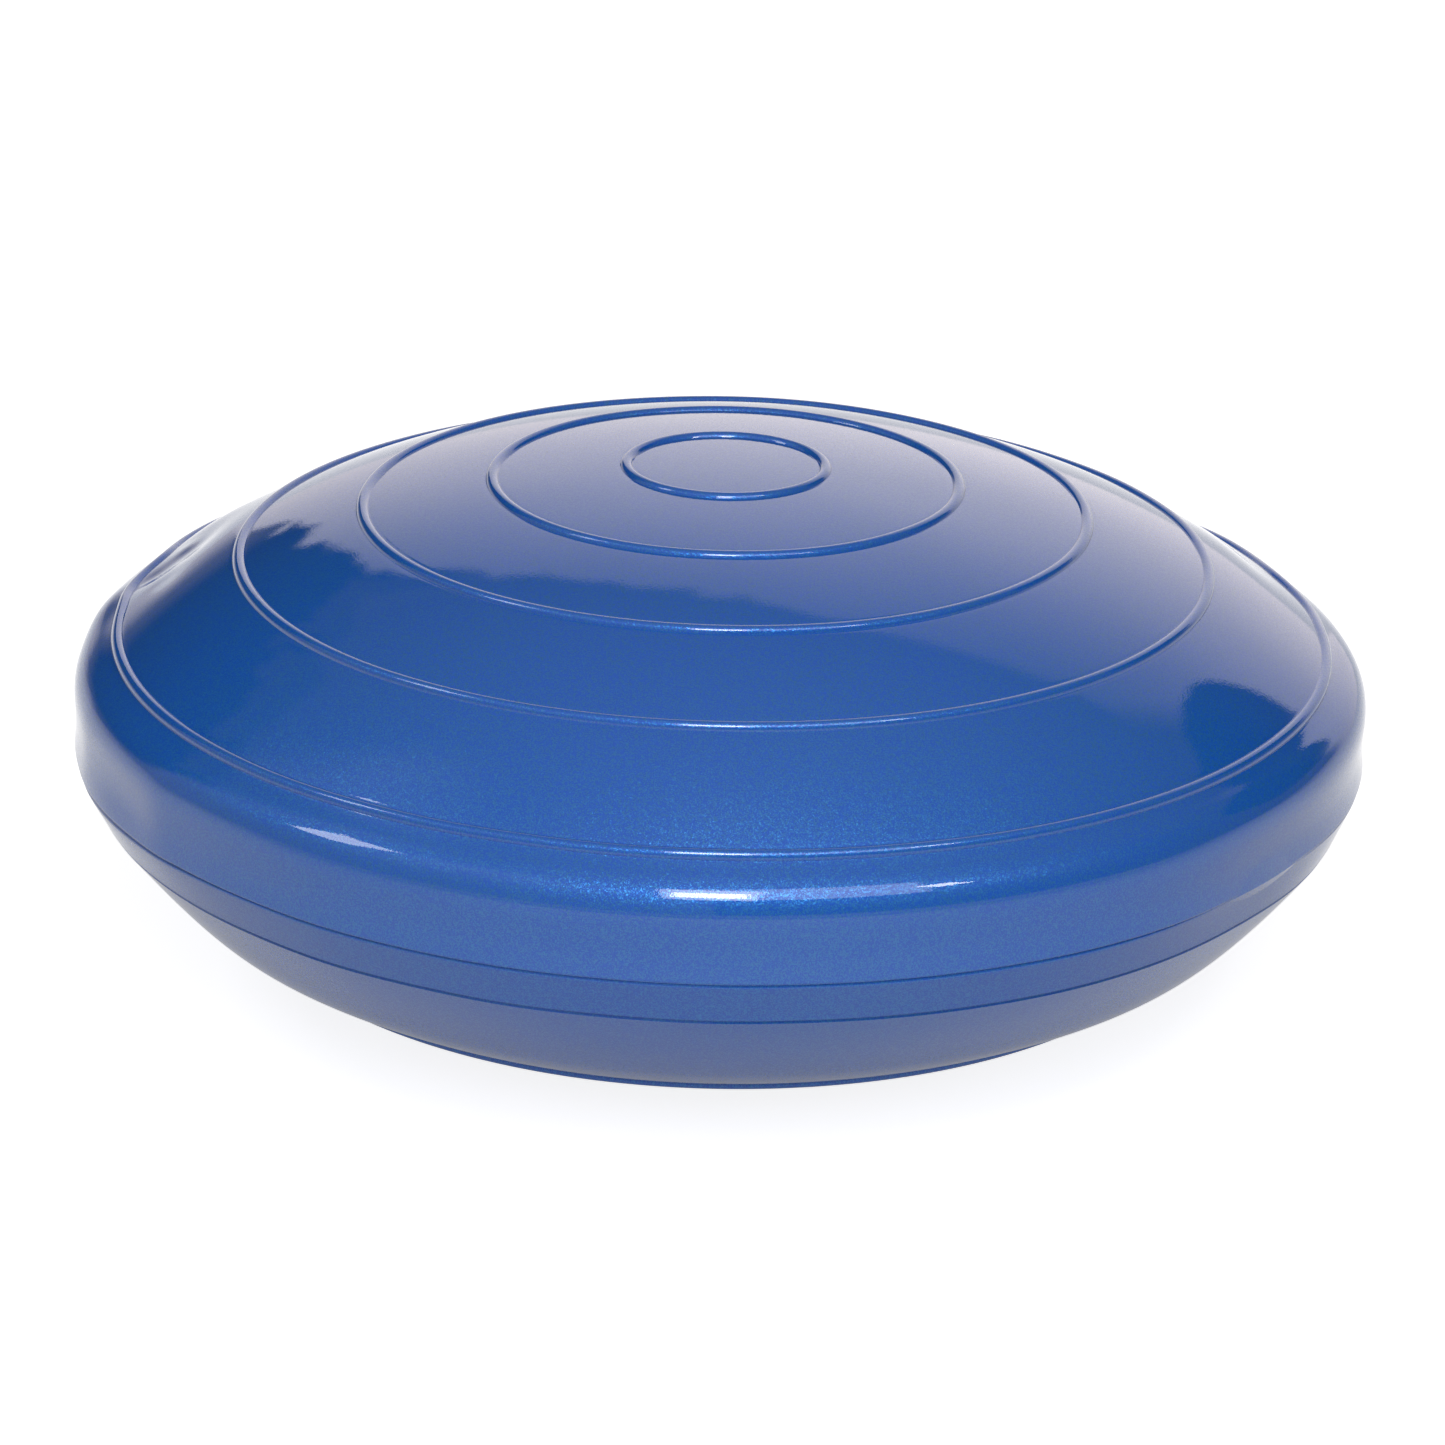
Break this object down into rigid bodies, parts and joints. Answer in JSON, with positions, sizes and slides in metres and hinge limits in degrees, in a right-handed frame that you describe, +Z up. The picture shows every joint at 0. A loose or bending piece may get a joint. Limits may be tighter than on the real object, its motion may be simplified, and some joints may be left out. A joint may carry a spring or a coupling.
{
  "type": "inflatable balance disc",
  "caption": "Round inflatable balance disc, domed on both sides, with raised concentric beads, a rolled shoulder, a moulded seam and a stopper valve in the underside.",
  "frame": {"origin": "centre of the flat patch that the disc rests on, at floor level", "axes": "+Z up, along the disc's axis of revolution; +Y towards the valve in the back of the underside"},
  "size_m": [0.55, 0.55, 0.2253],
  "materials": {
    "pearl_vinyl": "glossy soft vinyl with a fine metallic flake",
    "valve_vinyl": "soft satin vinyl in the disc's blue, without flake",
    "stopper_white": "satin moulded polyethylene"
  },
  "bodies": {
    "base": {"lower_shell": "pearl_vinyl", "valve_seat": "valve_vinyl"},
    "dome": {"upper_shell": "pearl_vinyl"},
    "stopper": {"valve_stopper": "stopper_white"}
  },
  "joints": [
    {"name": "dome_press", "type": "slide", "parent": "base", "child": "dome", "axis": [0, 0, -1], "range_m": [0, 0.045], "stiffness_N_per_m": 16000, "deforming": ["upper_shell"]},
    {"name": "stopper_pull", "type": "slide", "parent": "base", "child": "stopper", "axis": [0, 0.6778, -0.7352], "range_m": [0, 0.022]}
  ]
}
